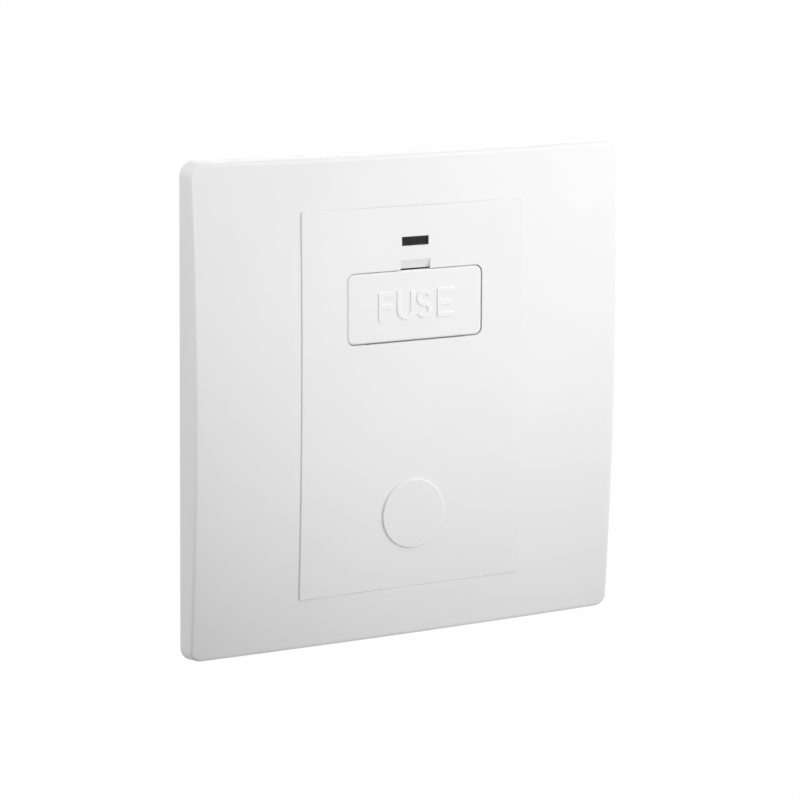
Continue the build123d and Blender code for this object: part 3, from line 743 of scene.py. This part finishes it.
def make_lamp():
    """Glass tube with round ends and two electrodes inside it."""
    low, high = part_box("indicator_lamp")
    place = Matrix.Translation((low + high) / 2)
    radius = (high.z - low.z) / 2
    reach = (high.x - low.x) / 2
    shape = bmesh.new()
    lathe(shape, dome(radius, reach), place)
    lathe(shape, dome(radius - GLASS_WALL, reach - GLASS_WALL), place)
    mesh = mesh_from("lamp_glass_tube", shape)
    add_piece("lamp_glass_tube", mesh, "indicator_lamp", "lamp_glass", "indicator_lamp")
    shape = bmesh.new()
    half = (reach - GLASS_WALL + ELECTRODE_REACH) / 2
    for side in (-1, 1):
        middle = side * (reach - GLASS_WALL) - side * half
        shift = Matrix.Translation((middle, 0, side * ELECTRODE_SHIFT))
        lathe(shape, dome(ELECTRODE_RADIUS, half), place @ shift)
    mesh = mesh_from("lamp_electrodes", shape)
    add_piece("lamp_electrodes", mesh, "lamp_lead_load", "lead_wire")


def make_resistor():
    """Banded resistor with a waist between its end caps."""
    low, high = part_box("lamp_resistor")
    radius = (high.x - low.x) / 2
    half = (high.z - low.z) / 2
    cap = RESISTOR_CAP * half
    ease = RESISTOR_EASE * radius
    end = [
        (radius - ease, -half),
        (radius, ease - half),
        (radius, -cap - ease),
        (radius - RESISTOR_WAIST, -cap),
    ]
    place = Matrix.Translation((low + high) / 2) @ Matrix.Rotation(QUARTER_TURN, 4, "Y")
    shape = bmesh.new()
    lathe(shape, mirrored(end), place)
    mesh = mesh_from("banded_resistor", shape)
    add_piece("banded_resistor", mesh, "lamp_resistor", "resistor_body", "lamp_resistor")


def make_camera():
    """Camera at the photograph's viewpoint."""
    lens = bpy.data.cameras.new("camera")
    lens.lens = CAMERA_LENS
    lens.sensor_width = CAMERA_SENSOR
    camera = link("camera", lens)
    turn = Matrix.Rotation(-CAMERA_YAW, 4, "Z")
    turn = turn @ Matrix.Rotation(QUARTER_TURN - CAMERA_PITCH, 4, "X")
    turn = turn @ Matrix.Rotation(CAMERA_ROLL, 4, "Z")
    camera.matrix_world = Matrix.Translation(CAMERA_PLACE) @ turn
    scene.camera = camera


def white_rays(tree):
    """Output that is 1 for rays that should meet white: seen, mirrored or refracted ones."""
    path = add_node(tree, "LightPath")
    total = path.outputs["Is Camera Ray"]
    for name in ("Is Glossy Ray", "Is Transmission Ray"):
        both = add_node(tree, "Math", "MAXIMUM")
        tree.links.new(total, both.inputs[0])
        tree.links.new(path.outputs[name], both.inputs[1])
        total = both.outputs["Value"]
    return total


def mix_into(tree, output, factor, first, second):
    """Mixes two shaders by a factor into the surface of an output node."""
    mix = add_node(tree, "MixShader")
    tree.links.new(factor, mix.inputs["Fac"])
    tree.links.new(first, mix.inputs[1])
    tree.links.new(second, mix.inputs[2])
    tree.links.new(mix.outputs["Shader"], tree.nodes[output].inputs["Surface"])


def floor_material():
    """Pale floor that turns into the white background with the distance from the middle."""
    material = bpy.data.materials.new("floor")
    material.use_nodes = True
    tree = material.node_tree
    shader = tree.nodes["Principled BSDF"]
    fill(shader, Base_Color=FLOOR_GREY, Roughness=FLOOR_ROUGHNESS)
    white = add_node(tree, "Emission")
    place = add_node(tree, "TexCoord")
    flat = add_node(tree, "VectorMath", "MULTIPLY")
    flat.inputs[1].default_value = (1, 1, 0)
    away = add_node(tree, "VectorMath", "LENGTH")
    fade = add_node(
        tree, "MapRange", From_Min=FLOOR_NEAR, From_Max=FLOOR_FAR, To_Min=FLOOR_NEAR_WHITE
    )
    fade.interpolation_type = "SMOOTHSTEP"
    share = add_node(tree, "Math", "MULTIPLY")
    tree.links.new(place.outputs["Object"], flat.inputs[0])
    tree.links.new(flat.outputs["Vector"], away.inputs[0])
    tree.links.new(away.outputs["Value"], fade.inputs["Value"])
    tree.links.new(fade.outputs["Result"], share.inputs[0])
    tree.links.new(white_rays(tree), share.inputs[1])
    mix_into(
        tree,
        "Material Output",
        share.outputs["Value"],
        shader.outputs["BSDF"],
        white.outputs["Emission"],
    )
    return material


def make_floor():
    """Floor under the object, which keeps its shadow."""
    shape = bmesh.new()
    place = Matrix.Translation((0, 0, cad_low.z - FLOOR_DROP))
    bmesh.ops.create_grid(
        shape, x_segments=FLOOR_GRID, y_segments=FLOOR_GRID, size=FLOOR_SIZE / 2, matrix=place
    )
    mesh = bpy.data.meshes.new("floor")
    shape.to_mesh(mesh)
    shape.free()
    mesh.materials.append(floor_material())
    link("floor", mesh)


def make_world():
    """White background for what is seen, and an even ambient light."""
    world = bpy.data.worlds.new("studio")
    world.use_nodes = True
    tree = world.node_tree
    ambient = tree.nodes["Background"]
    fill(ambient, Color=WHITE, Strength=AMBIENT)
    white = add_node(tree, "Background", Color=WHITE)
    mix_into(
        tree,
        "World Output",
        white_rays(tree),
        ambient.outputs["Background"],
        white.outputs["Background"],
    )
    scene.world = world


def stand_at(azimuth, elevation, distance):
    """Place round the middle of the plate, from angles in degrees."""
    across = math.radians(azimuth)
    up = math.radians(elevation)
    level = math.cos(up) * distance
    return Vector((math.sin(across) * level, -math.cos(across) * level, math.sin(up) * distance))


def hang(lamp, place, aim):
    """Hangs a lamp at a place, facing its aim and unseen by the camera."""
    holder = link(lamp.name, lamp)
    holder.location = place
    holder.rotation_euler = (Vector(aim) - place).to_track_quat("-Z", "Y").to_euler()
    holder.visible_camera = False


def make_lights():
    """Soft boxes round the plate, and soft-edged spots in front of it."""
    for name, (azimuth, elevation, distance, width, height, watts) in SOFT_LAMPS.items():
        lamp = bpy.data.lights.new(name, "AREA")
        lamp.shape = "RECTANGLE"
        lamp.size = width
        lamp.size_y = height
        lamp.energy = watts
        hang(lamp, stand_at(azimuth, elevation, distance), (0, 0, 0))
    for name, (azimuth, elevation, watts, reach, aim) in SPOTS.items():
        spot = bpy.data.lights.new(name, "SPOT")
        spot.energy = watts
        spot.spot_size = 2 * math.atan(reach / SPOT_DISTANCE)
        spot.spot_blend = SPOT_BLEND
        spot.shadow_soft_size = SPOT_SIZE
        hang(spot, stand_at(azimuth, elevation, SPOT_DISTANCE), aim)


make_cover_plate()
make_letters()
make_lens()
make_lamp()
make_resistor()
make_camera()
make_floor()
make_world()
make_lights()
scene.view_settings.view_transform = "Standard"
